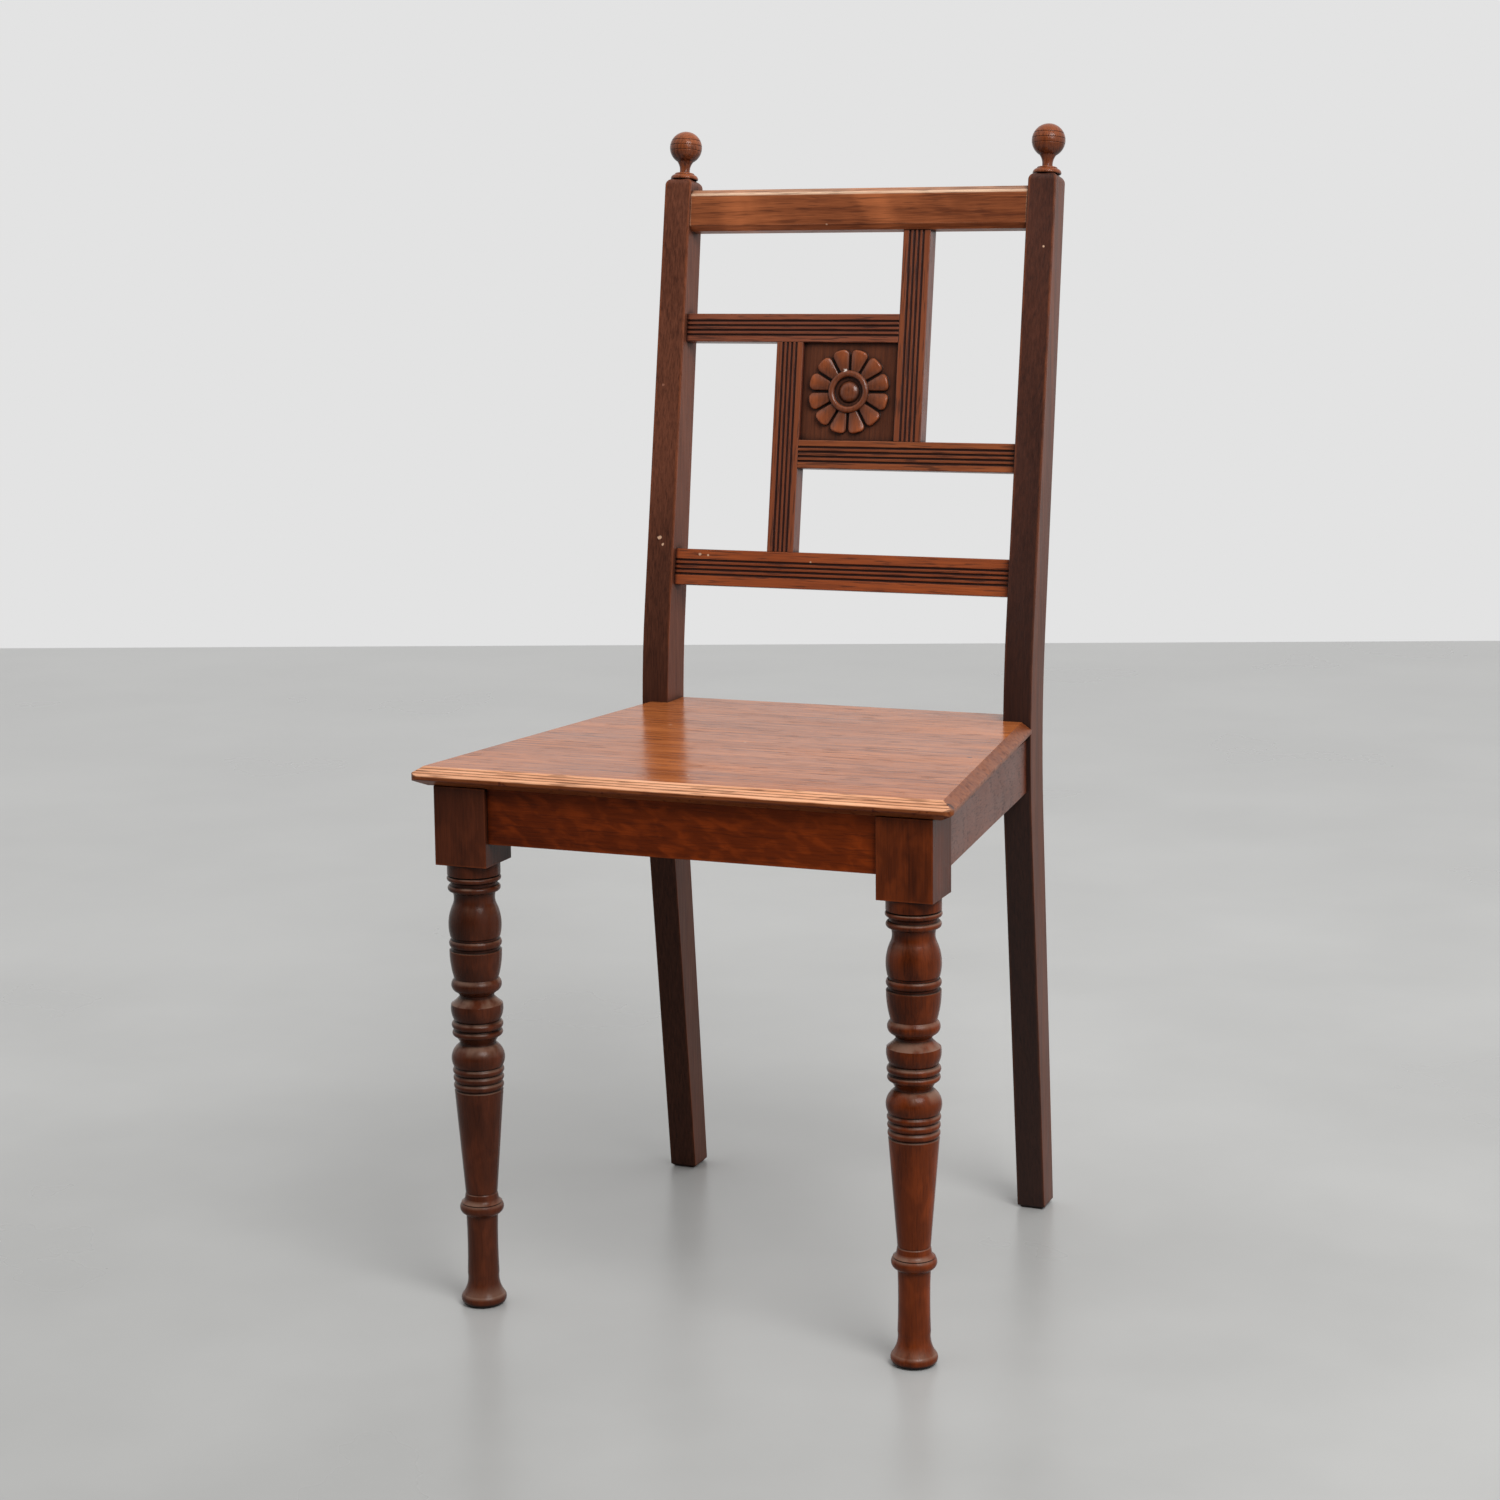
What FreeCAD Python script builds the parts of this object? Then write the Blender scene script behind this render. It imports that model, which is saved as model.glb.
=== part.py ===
import math
import os

import FreeCAD
import Part

# Oak side chair. The chair faces -Y, +X is at the right of someone looking at its front.
# All sizes are in millimetres; the floor is at z = 0.

# Seat board
seat_height = 457.0
seat_thickness = 16.0
seat_front_half = 230.5
seat_side_overhang = 18.5
seat_rear_overhang = 0.5
seat_front_overhang = 9.0
seat_top_bevel = 9.0
seat_under_bevel = 11.0
seat_nose_drop = 6.5
seat_nose_height = 3.5
seat_nose_round = 1.2
seat_corner_round = 7.0
seat_back_edge = 366.0
seat_reed_count = 3
seat_reed_round = 0.5

# Front legs: a square block over a turned leg; y is counted from the legs' axis
block_side = 46.0
block_height = 65.0
block_arris = 0.8

# Rear posts, sawn to a bend and seen from the side
post_outer_half = 184.5
post_width = 25.5
post_bend_y = 324.6
post_bend_height = 450.0
post_lean = 9.15
post_rake = 7.3
post_bend_radius = 650.0
post_depth_foot = 29.0
post_depth_bend = 39.5
post_depth_top = 28.5
post_length_up = 486.0
post_top_round = 6.5
post_foot_chamfer = 3.0
post_arris = 1.0

# Seat rails
rail_height = 46.0
rail_thickness = 20.0
front_rail_setback = 5.0
side_rail_front_inset = 2.0
side_rail_rear_inset = 4.0
rear_rail_setback = 8.0
rail_tenon_length = 20.0
rail_tenon_thickness = 9.0
rail_tenon_shoulder = 6.0
rear_tenon_length = 12.0

# Bars of the back, counted down the slope from the posts' tops and back from the posts' front face
bar_thickness = 16.0
bar_setback = 7.0
bar_height = 25.4
bar_arris = 0.7
bar_tenon_length = 12.0
bar_tenon_thickness = 8.0
bar_tenon_shoulder = 4.0
lower_bar_height = 32.7
crest_height = 37.2
crest_below_post_top = 11.0
upper_bar_below_crest = 74.8
middle_bar_below_upper = 87.7
lower_bar_below_middle = 75.6
crest_setback = 1.5
crest_thickness = 20.0
crest_chamfer = 4.5
upright_centre = 57.5
upright_width = 25.3
upright_tenon_length = 10.0

# Four reeding grooves on each bar and upright
groove_count = 4
groove_width = 2.1
groove_pitch = 4.2
groove_depth = 1.6

# Carved panel
panel_thickness = 9.0
panel_setback = 5.0
panel_tongue = 5.0
panel_tongue_thickness = 5.0
petal_count = 12
petal_tip_radius = 37.8
petal_root_radius = 14.0
petal_end_round = 15.0
petal_root_round = 12.4
petal_relief = 5.6
petal_gap = 2.0
petal_corner_round = 4.6
petal_edge_round = 1.7
ring_inner = 26.6
ring_outer = 38.0
ring_step = 3.4
ring_round = 2.8
bowl_relief = 1.0
boss_width = 20.5
boss_relief = 4.4
boss_flat = 1.5
boss_round = 1.7

# Finials
finial_ball = 29.4
finial_neck = 9.2
finial_base = 25.0
finial_base_edge = 1.6
finial_base_height = 6.0
finial_plate = 17.6
finial_plate_height = 1.4
finial_rise = 29.5
finial_pin = 9.0
finial_pin_length = 13.0
finial_line_heights = (-3.3, 1.4, 6.2)
finial_line_depth = 0.45

# Corner blocks and the screws that hold the seat down
corner_block_leg = 62.0
corner_block_height = 28.0
screw_shank = 4.0
screw_head = 8.0
screw_head_height = 3.2
screw_bite = 10.0

# Room left round tenons, pins and tongues for glue
fit_clearance = 0.1

# Sizes that follow from the ones above
seat_underside = seat_height - seat_thickness
block_bottom = seat_underside - block_height
rail_bottom = seat_underside - rail_height
leg_half_spacing = seat_front_half - seat_side_overhang - block_side / 2
post_inner_half = post_outer_half - post_width
seat_rear_half = post_outer_half + seat_rear_overhang
crest_bottom = post_length_up - crest_below_post_top - crest_height
upper_bar_bottom = crest_bottom - upper_bar_below_crest - bar_height
middle_bar_bottom = upper_bar_bottom - middle_bar_below_upper - bar_height
lower_bar_bottom = middle_bar_bottom - lower_bar_below_middle - lower_bar_height
lean = math.radians(post_lean)
rake = math.radians(post_rake)
seat_front_y = -(block_side / 2 + seat_front_overhang)
finial_up = post_length_up + finial_rise
finial_y = post_bend_y + finial_up * math.sin(lean) + post_depth_top / 2 * math.cos(lean)
rearmost_y = finial_y + finial_ball / 2
# The origin is on the floor, midway between the seat's front edge and the back of the finials
leg_axis_y = -(seat_front_y + rearmost_y) / 2

X = FreeCAD.Vector(1, 0, 0)
Y = FreeCAD.Vector(0, 1, 0)
Z = FreeCAD.Vector(0, 0, 1)
to_origin = FreeCAD.Placement(Y * leg_axis_y, FreeCAD.Rotation())
# Frame of the back: x across, y back from the posts' front face, z up the slope
back_foot = FreeCAD.Vector(0, post_bend_y, post_bend_height)
back_frame = FreeCAD.Placement(back_foot, FreeCAD.Rotation(X, -post_lean))


def box(x0, x1, y0, y1, z0, z1):
    corner = FreeCAD.Vector(min(x0, x1), min(y0, y1), min(z0, z1))
    return Part.makeBox(abs(x1 - x0), abs(y1 - y0), abs(z1 - z0), corner)


def grown(shape_box, room):
    """A box a little larger all round, for cutting a mortise."""
    b = shape_box.BoundBox
    return box(b.XMin - room, b.XMax + room, b.YMin - room, b.YMax + room, b.ZMin - room, b.ZMax + room)


def prism(plan, z0, z1):
    """Upright prism over a plan outline given as (x, y) points."""
    points = [FreeCAD.Vector(x, y, z0) for x, y in plan]
    face = Part.Face(Part.makePolygon(points + points[:1]))
    return face.extrude(Z * (z1 - z0))


def stretch(start, end, bulge):
    """Straight edge, or an arc standing out from it by the bulge (to the right of the way up)."""
    if bulge == 0:
        return Part.makeLine(start, end)
    along = (end - start).normalize()
    out = FreeCAD.Vector(-along.z, 0, along.x)
    return Part.Arc(start, (start + end) * 0.5 + out * bulge, end).toShape()


def turned(outline):
    """Solid turned about Z; rows are height, diameter, bulge of the stretch that leads there."""
    points = [FreeCAD.Vector(diameter / 2, 0, height) for height, diameter, bulge in outline]
    first = FreeCAD.Vector(0, 0, outline[0][0])
    last = FreeCAD.Vector(0, 0, outline[-1][0])
    edges = [Part.makeLine(first, points[0])]
    for start, end, row in zip(points, points[1:], outline[1:]):
        edges.append(stretch(start, end, row[2]))
    edges.append(Part.makeLine(points[-1], last))
    edges.append(Part.makeLine(last, first))
    return Part.Face(Part.Wire(edges)).revolve(FreeCAD.Vector(), Z, 360)


def mirrored(shape):
    return shape.mirror(FreeCAD.Vector(), X)


def in_back(shape):
    """The shape moved from the frame of the back to that of the chair."""
    moved = shape.copy()
    moved.Placement = back_frame.multiply(moved.Placement)
    return moved


def upright_edges(shape, direction):
    """Straight edges that run along one direction."""
    found = []
    for edge in shape.Edges:
        if len(edge.Vertexes) == 2:
            way = (edge.Vertexes[1].Point - edge.Vertexes[0].Point).normalize()
            if abs(abs(way.dot(direction)) - 1) < 1e-6:
                found.append(edge)
    return found


nodes = {}

# Rear posts


def bent_line(lower, bend, upper, radius):
    """Two straight lines joined by an arc that touches both."""
    down = (lower - bend).normalize()
    up = (upper - bend).normalize()
    half_turn = (math.pi - down.getAngle(up)) / 2
    reach = radius * math.tan(half_turn)
    inward = (down + up).normalize()
    middle = bend + inward * (radius / math.cos(half_turn) - radius)
    start = bend + down * reach
    end = bend + up * reach
    return [Part.makeLine(lower, start), Part.Arc(start, middle, end).toShape(), Part.makeLine(end, upper)]


def post_side(y, z):
    return FreeCAD.Vector(post_inner_half, y, z)


def post_blank():
    foot_y = post_bend_y + post_bend_height * math.tan(rake)
    front_top = in_back(Part.Vertex(post_inner_half, 0, post_length_up)).Point
    rear_top = in_back(Part.Vertex(post_inner_half, post_depth_top, post_length_up)).Point
    front_foot = post_side(foot_y, 0)
    rear_foot = post_side(foot_y + post_depth_foot, 0)
    front_bend = post_side(post_bend_y, post_bend_height)
    rear_bend = post_side(post_bend_y + post_depth_bend, post_bend_height)
    front = bent_line(front_foot, front_bend, front_top, post_bend_radius)
    rear = bent_line(rear_foot, rear_bend, rear_top, post_bend_radius)
    top = Part.makeLine(front_top, rear_top)
    foot = Part.makeLine(rear_foot, front_foot)
    outline = Part.Wire(Part.__sortEdges__(front + [top] + rear + [foot]))
    solid = Part.Face(outline).extrude(X * post_width)
    top_face = max(solid.Faces, key=lambda face: face.CenterOfMass.z)
    solid = solid.makeFillet(post_top_round, top_face.Edges)
    foot_face = min(solid.Faces, key=lambda face: face.CenterOfMass.z)
    solid = solid.makeChamfer(post_foot_chamfer, foot_face.Edges)
    long_edges = [edge for edge in solid.Edges if edge.Length > post_bend_height / 4]
    arrises = [edge for edge in long_edges if abs(edge.tangentAt(edge.FirstParameter).x) < 0.5]
    return solid.makeFillet(post_arris, arrises)


post_right = post_blank()
post_left = mirrored(post_right)
post_blanks = {"right": post_right, "left": post_left}
mortises = {"right": [], "left": []}

# Front legs: rows of the turning above the long taper hang from the block, those below stand on the floor
leg_outline = [
    (block_bottom, 43.6, 0),
    (block_bottom - 10.0, 43.6, 0),
    (block_bottom - 11.0, 40.8, 0),
    (block_bottom - 15.4, 41.4, 1.7),
    (block_bottom - 16.4, 38.4, 0),
    (block_bottom - 18.4, 38.4, 0),
    (block_bottom - 19.0, 40.4, 0),
    (block_bottom - 24.2, 38.2, 2.0),
    (block_bottom - 25.0, 35.4, 0),
    (block_bottom - 36.0, 36.4, -1.15),
    (block_bottom - 61.8, 41.2, 2.2),
    (block_bottom - 62.6, 39.0, 0),
    (block_bottom - 64.2, 39.0, 0),
    (block_bottom - 64.6, 41.0, 0),
    (block_bottom - 70.4, 41.0, 1.1),
    (block_bottom - 71.2, 38.8, 0),
    (block_bottom - 72.8, 38.8, 0),
    (block_bottom - 73.6, 43.0, 0),
    (block_bottom - 97.2, 36.4, 0.9),
    (block_bottom - 98.0, 37.6, 0),
    (block_bottom - 107.4, 37.0, 2.1),
    (block_bottom - 111.0, 28.6, -0.3),
    (block_bottom - 112.4, 28.2, 0),
    (block_bottom - 118.8, 42.4, -0.3),
    (block_bottom - 131.8, 38.4, 1.2),
    (block_bottom - 132.6, 37.2, 0),
    (block_bottom - 133.4, 39.2, 0),
    (block_bottom - 139.2, 39.4, 1.6),
    (block_bottom - 139.8, 37.4, 0),
    (block_bottom - 140.6, 38.6, 0),
    (block_bottom - 145.8, 37.0, 1.9),
    (block_bottom - 151.0, 29.8, -0.4),
    (block_bottom - 152.2, 29.4, 0),
    (block_bottom - 170.8, 41.0, 3.9),
    (block_bottom - 171.6, 38.8, 0),
    (block_bottom - 172.6, 40.2, 0),
    (block_bottom - 177.2, 40.0, 1.1),
    (block_bottom - 178.0, 38.2, 0),
    (block_bottom - 179.0, 39.8, 0),
    (block_bottom - 183.6, 39.6, 1.0),
    (block_bottom - 184.4, 37.8, 0),
    (block_bottom - 185.4, 39.4, 0),
    (block_bottom - 190.0, 39.2, 1.0),
    (block_bottom - 190.8, 37.6, 0),
    (block_bottom - 192.0, 40.2, 0),
    (97.0, 26.4, 0),
    (96.4, 25.6, 0),
    (95.4, 26.8, 0),
    (91.6, 28.0, 0),
    (88.2, 33.6, -0.5),
    (87.6, 32.6, 0),
    (87.0, 34.2, 0),
    (79.0, 31.6, 1.7),
    (77.0, 26.2, -0.3),
    (27.0, 26.4, -0.5),
    (9.4, 34.4, -1.7),
    (0.0, 29.0, 2.9),
]
leg = turned(leg_outline)
block = box(-block_side / 2, block_side / 2, -block_side / 2, block_side / 2, block_bottom, seat_underside)
block = block.makeFillet(block_arris, upright_edges(block, Z))
leg = leg.fuse(block).removeSplitter()
legs = {"right": leg.copy(), "left": leg.copy()}
legs["right"].translate(X * leg_half_spacing)
legs["left"].translate(X * -leg_half_spacing)

# Front seat rail between the legs' blocks
tenon_bottom = rail_bottom + rail_tenon_shoulder
tenon_top = seat_underside - rail_tenon_shoulder
front_rail_y = -block_side / 2 + front_rail_setback
front_rail_end = leg_half_spacing - block_side / 2
tenon_y = front_rail_y + (rail_thickness - rail_tenon_thickness) / 2
front_rail = box(-front_rail_end, front_rail_end, front_rail_y, front_rail_y + rail_thickness,
                 rail_bottom, seat_underside)
for side, sign in (("right", 1), ("left", -1)):
    tenon = box(sign * front_rail_end, sign * (front_rail_end + rail_tenon_length),
                tenon_y, tenon_y + rail_tenon_thickness, tenon_bottom, tenon_top)
    front_rail = front_rail.fuse(tenon)
    legs[side] = legs[side].cut(grown(tenon, fit_clearance))
front_rail = front_rail.removeSplitter()

# Rear seat rail between the posts
probe_start = FreeCAD.Vector(post_inner_half + post_width / 2, 0, seat_underside - rail_height / 2)
probe = Part.makeLine(probe_start, probe_start + Y * (post_bend_y * 2))
post_front_y = post_right.common(probe).BoundBox.YMin
rear_rail_y = post_front_y + rear_rail_setback
tenon_y = rear_rail_y + (rail_thickness - rail_tenon_thickness)
rear_rail = box(-post_inner_half, post_inner_half, rear_rail_y, rear_rail_y + rail_thickness,
                rail_bottom, seat_underside)
for side, sign in (("right", 1), ("left", -1)):
    tenon = box(sign * post_inner_half, sign * (post_inner_half + rear_tenon_length),
                tenon_y, tenon_y + rail_tenon_thickness, tenon_bottom, tenon_top)
    rear_rail = rear_rail.fuse(tenon)
    mortises[side].append(grown(tenon, fit_clearance))
rear_rail = rear_rail.removeSplitter()

# Side seat rails run in towards the back: made along Y, turned to their angle, scribed to leg and post
side_front_x = leg_half_spacing + block_side / 2 - side_rail_front_inset
side_rear_x = post_outer_half - side_rail_rear_inset
side_front_y = block_side / 2
side_run = post_front_y - side_front_y
side_angle = math.degrees(math.atan2(side_front_x - side_rear_x, side_run))
side_length = math.hypot(side_run, side_front_x - side_rear_x)
side_start = FreeCAD.Vector(side_front_x, side_front_y, 0)
side_frame = FreeCAD.Placement(side_start, FreeCAD.Rotation(Z, side_angle))


def along_side(shape):
    moved = shape.copy()
    moved.Placement = side_frame.multiply(moved.Placement)
    return moved


overrun = rail_thickness
side_end = side_length + overrun
side_blank = along_side(box(-rail_thickness, 0, -overrun, side_end, rail_bottom, seat_underside))
between = box(0, side_front_x * 2, side_front_y, post_front_y + overrun, rail_bottom, seat_underside)
side_blank = side_blank.common(between).cut(post_right)
side_blank = max(side_blank.Solids, key=lambda solid: solid.Volume)
tenon_in = -(rail_thickness + rail_tenon_thickness) / 2
tenon_out = tenon_in + rail_tenon_thickness
tenon_end = side_length + rear_tenon_length
front_tenon = box(tenon_in, tenon_out, -rail_tenon_length, overrun, tenon_bottom, tenon_top)
rear_tenon = box(tenon_in, tenon_out, side_length - overrun, tenon_end, tenon_bottom, tenon_top)
side_rail = side_blank.fuse(along_side(front_tenon)).fuse(along_side(rear_tenon)).removeSplitter()
side_rails = {"right": side_rail, "left": mirrored(side_rail)}
leg_mortise = along_side(grown(front_tenon, fit_clearance))
post_mortise = along_side(grown(rear_tenon, fit_clearance))
legs["right"] = legs["right"].cut(leg_mortise)
legs["left"] = legs["left"].cut(mirrored(leg_mortise))
mortises["right"].append(post_mortise)
mortises["left"].append(mirrored(post_mortise))

# Bars and uprights of the back, in the frame of the back


def grooved(piece, centre, low, high, upright):
    """The piece with its four reeding grooves cut along the front face."""
    start = centre - (groove_pitch * (groove_count - 1) + groove_width) / 2
    for index in range(groove_count):
        a = start + index * groove_pitch
        b = a + groove_width
        if upright:
            cutter = box(a, b, bar_setback - 1, bar_setback + groove_depth, low, high)
        else:
            cutter = box(low, high, bar_setback - 1, bar_setback + groove_depth, a, b)
        piece = piece.cut(cutter)
    return piece


tenon_front = bar_setback + (bar_thickness - bar_tenon_thickness) / 2
tenon_rear = tenon_front + bar_tenon_thickness


def bar(x0, x1, bottom, height):
    piece = box(x0, x1, bar_setback, bar_setback + bar_thickness, bottom, bottom + height)
    piece = piece.makeFillet(bar_arris, upright_edges(piece, X))
    return grooved(piece, bottom + height / 2, x0, x1, False)


def bar_tenon(x, sign, bottom, height, length):
    return box(x, x + sign * length, tenon_front, tenon_rear, bottom + bar_tenon_shoulder,
               bottom + height - bar_tenon_shoulder)


def upright(centre, bottom, top):
    half = upright_width / 2
    piece = box(centre - half, centre + half, bar_setback, bar_setback + bar_thickness, bottom, top)
    piece = piece.makeFillet(bar_arris, upright_edges(piece, Z))
    return grooved(piece, centre, bottom, top, True)


def upright_tenon(centre, z, sign):
    half = upright_width / 2 - bar_tenon_shoulder
    return box(centre - half, centre + half, tenon_front, tenon_rear, z, z + sign * upright_tenon_length)


upright_inner = upright_centre - upright_width / 2
lower_bar_top = lower_bar_bottom + lower_bar_height
middle_bar_top = middle_bar_bottom + bar_height
lower_bar = bar(-post_inner_half, post_inner_half, lower_bar_bottom, lower_bar_height)
middle_bar = bar(-upright_inner, post_inner_half, middle_bar_bottom, bar_height)
upper_bar = bar(-post_inner_half, upright_inner, upper_bar_bottom, bar_height)
upper_upright = upright(upright_centre, middle_bar_top, crest_bottom)
lower_upright = upright(-upright_centre, lower_bar_top, upper_bar_bottom)

crest = box(-post_inner_half, post_inner_half, crest_setback, crest_setback + crest_thickness,
            crest_bottom, crest_bottom + crest_height)
front_edges = [e for e in upright_edges(crest, X) if e.Vertexes[0].Point.y < crest_setback + 0.1]
crest = crest.makeChamfer(crest_chamfer, front_edges)

# Tenons of the bars in the posts
for side, sign in (("right", 1), ("left", -1)):
    end = sign * post_inner_half
    crest_tenon = bar_tenon(end, sign, crest_bottom, crest_height, bar_tenon_length)
    lower_tenon = bar_tenon(end, sign, lower_bar_bottom, lower_bar_height, bar_tenon_length)
    crest = crest.fuse(crest_tenon)
    lower_bar = lower_bar.fuse(lower_tenon)
    mortises[side].append(in_back(grown(crest_tenon, fit_clearance)))
    mortises[side].append(in_back(grown(lower_tenon, fit_clearance)))
middle_tenon = bar_tenon(post_inner_half, 1, middle_bar_bottom, bar_height, bar_tenon_length)
upper_tenon = bar_tenon(-post_inner_half, -1, upper_bar_bottom, bar_height, bar_tenon_length)
mortises["right"].append(in_back(grown(middle_tenon, fit_clearance)))
mortises["left"].append(in_back(grown(upper_tenon, fit_clearance)))

# Tenons of bars in uprights and of uprights in bars
middle_inner_tenon = bar_tenon(-upright_inner, -1, middle_bar_bottom, bar_height, upright_tenon_length)
upper_inner_tenon = bar_tenon(upright_inner, 1, upper_bar_bottom, bar_height, upright_tenon_length)
middle_bar = middle_bar.fuse(middle_tenon).fuse(middle_inner_tenon)
upper_bar = upper_bar.fuse(upper_tenon).fuse(upper_inner_tenon)
upper_upright = upper_upright.cut(grown(upper_inner_tenon, fit_clearance))
lower_upright = lower_upright.cut(grown(middle_inner_tenon, fit_clearance))
upper_top_tenon = upright_tenon(upright_centre, crest_bottom, 1)
upper_foot_tenon = upright_tenon(upright_centre, middle_bar_top, -1)
lower_top_tenon = upright_tenon(-upright_centre, upper_bar_bottom, 1)
lower_foot_tenon = upright_tenon(-upright_centre, lower_bar_top, -1)
upper_upright = upper_upright.fuse(upper_top_tenon).fuse(upper_foot_tenon)
lower_upright = lower_upright.fuse(lower_top_tenon).fuse(lower_foot_tenon)
crest = crest.cut(grown(upper_top_tenon, fit_clearance))
middle_bar = middle_bar.cut(grown(upper_foot_tenon, fit_clearance))
upper_bar = upper_bar.cut(grown(lower_top_tenon, fit_clearance))
lower_bar = lower_bar.cut(grown(lower_foot_tenon, fit_clearance))

# Carved panel: a tongued board whose rosette stands up from a flat ground
ground_y = bar_setback + panel_setback
rosette_z = (middle_bar_top + upper_bar_bottom) / 2
board = box(-upright_inner, upright_inner, ground_y, ground_y + panel_thickness,
            middle_bar_top, upper_bar_bottom)
tongue_y = ground_y + (panel_thickness - panel_tongue_thickness) / 2
tongue_half = upright_inner + panel_tongue
tongue = box(-tongue_half, tongue_half, tongue_y, tongue_y + panel_tongue_thickness,
             middle_bar_top - panel_tongue, upper_bar_bottom + panel_tongue)
panel = board.fuse(tongue)
half_share = math.pi / petal_count
fan_start = petal_gap / 2 / math.sin(half_share)
fan_half = (petal_tip_radius * 2 - fan_start) * math.tan(half_share)
fan = prism([(fan_start, 0), (petal_tip_radius * 2, -fan_half), (petal_tip_radius * 2, fan_half)],
            -panel_thickness / 2, petal_relief * 2)
fan = fan.common(Part.makeCylinder(petal_tip_radius, panel_thickness * 4,
                                   FreeCAD.Vector(0, 0, -panel_thickness * 2), Z))
fan_corners = [e for e in upright_edges(fan, Z) if e.Vertexes[0].Point.x > petal_tip_radius / 2]
fan = fan.makeFillet(petal_corner_round, fan_corners)
petal_length = petal_tip_radius - petal_root_radius
sunk_axis = FreeCAD.Vector(petal_root_radius, 0, petal_relief - petal_end_round)
petal = fan.common(Part.makeCone(petal_root_round, petal_end_round, petal_length, sunk_axis, X))
crown_edges = []
for edge in petal.Edges:
    if edge.BoundBox.ZMin > 0.5 and edge.BoundBox.XMax > petal_root_radius + 1:
        crown_edges.append(edge)
petal = petal.makeFillet(petal_edge_round, crown_edges)
petal.rotate(FreeCAD.Vector(), X, 90)
petal.translate(FreeCAD.Vector(0, ground_y, rosette_z))
centre = FreeCAD.Vector(0, ground_y, rosette_z)
hub = turned([
    (bowl_relief + boss_relief, boss_flat, 0),
    (bowl_relief, boss_width, boss_round),
    (bowl_relief, ring_inner, 0),
    (ring_step, ring_inner, 0),
    (ring_step, ring_outer, ring_round),
    (-panel_thickness / 2, ring_outer, 0),
])
hub.rotate(FreeCAD.Vector(), X, 90)
hub.translate(centre)
core_radius = (ring_inner + ring_outer) / 4
core = Part.makeCylinder(core_radius, petal_end_round * 4, centre + Y * (petal_end_round * 2), -Y)
for index in range(petal_count):
    one = petal.cut(core)
    one.rotate(centre, Y, 360.0 * (index + 0.5) / petal_count)
    panel = panel.fuse(one)
panel = panel.fuse(hub).removeSplitter()
panel_groove = grown(tongue, fit_clearance)
upper_upright = upper_upright.cut(panel_groove)
lower_upright = lower_upright.cut(panel_groove)
upper_bar = upper_bar.cut(panel_groove)
middle_bar = middle_bar.cut(panel_groove)

# Finials turned with a pin that goes into the post's top
neck_top = finial_rise - math.sqrt((finial_ball / 2) ** 2 - (finial_neck * 0.8) ** 2)
finial = turned([
    (neck_top, finial_neck * 1.6, 0),
    (finial_base_height + 1.5, finial_neck, -0.9),
    (finial_base_height, finial_neck + 2.0, -0.4),
    (finial_base_height, finial_plate - 0.8, 0),
    (finial_base_height - finial_plate_height, finial_plate, 0.4),
    (finial_base_height - finial_plate_height, finial_plate - 1.6, 0),
    (finial_base_edge, finial_base, 1.1),
    (0.0, finial_base - 1.0, 0.3),
])
ball = Part.makeSphere(finial_ball / 2, FreeCAD.Vector(0, 0, finial_rise))
for height in finial_line_heights:
    radius = math.sqrt((finial_ball / 2) ** 2 - height ** 2)
    line = Part.makeTorus(radius, finial_line_depth, FreeCAD.Vector(0, 0, finial_rise + height), Z)
    ball = ball.cut(line)
pin = Part.makeCylinder(finial_pin / 2, finial_pin_length, FreeCAD.Vector(0, 0, -finial_pin_length), Z)
finial = finial.fuse(ball).fuse(pin).removeSplitter()
pin_bore = Part.makeCylinder(finial_pin / 2 + fit_clearance, finial_pin_length + fit_clearance,
                             FreeCAD.Vector(0, 0, -finial_pin_length - fit_clearance), Z)
for side, sign in (("right", 1), ("left", -1)):
    post_centre = sign * (post_outer_half - post_width / 2)
    standing = FreeCAD.Vector(post_centre, post_depth_top / 2, post_length_up)
    one = finial.copy()
    one.translate(standing)
    bore = pin_bore.copy()
    bore.translate(standing)
    nodes["finial_" + side] = in_back(one)
    mortises[side].append(in_back(bore))

# Seat board: three bevelled edges, notched round the posts
seat_slope = (seat_front_half - seat_rear_half) / (post_front_y - seat_front_y)


def seat_plan(inset, z):
    """Outline of the board at one height, drawn in from the nose on the front and the sides."""
    front_y = seat_front_y + inset
    front_x = seat_front_half - seat_slope * inset - inset * math.hypot(1, seat_slope)
    rear_x = front_x - seat_slope * (seat_back_edge - front_y)
    corners = [(-front_x, front_y), (front_x, front_y), (rear_x, seat_back_edge), (-rear_x, seat_back_edge)]
    points = [FreeCAD.Vector(x, y, z) for x, y in corners]
    return Part.makePolygon(points + points[:1])


nose_top = seat_height - seat_nose_drop
nose_bottom = nose_top - seat_nose_height
levels = [
    (seat_under_bevel, seat_underside),
    (0, nose_bottom),
    (0, nose_top),
    (seat_top_bevel, seat_height),
]
seat = None
for (inset_a, z_a), (inset_b, z_b) in zip(levels, levels[1:]):
    layer = Part.makeLoft([seat_plan(inset_a, z_a), seat_plan(inset_b, z_b)], True, True)
    seat = layer if seat is None else seat.fuse(layer)
seat = seat.removeSplitter()
nose_edges = []
for edge in seat.Edges:
    ends = [v.Point for v in edge.Vertexes]
    level = all(abs(p.z - nose_top) < 0.01 or abs(p.z - nose_bottom) < 0.01 for p in ends)
    at_back = all(abs(p.y - seat_back_edge) < 0.01 for p in ends)
    if level and not at_back and abs(ends[0].z - ends[1].z) < 0.01:
        nose_edges.append(edge)
seat = seat.makeFillet(seat_nose_round, nose_edges)
limits = Part.Face(seat_plan(0, seat_underside)).extrude(Z * seat_thickness)
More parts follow.
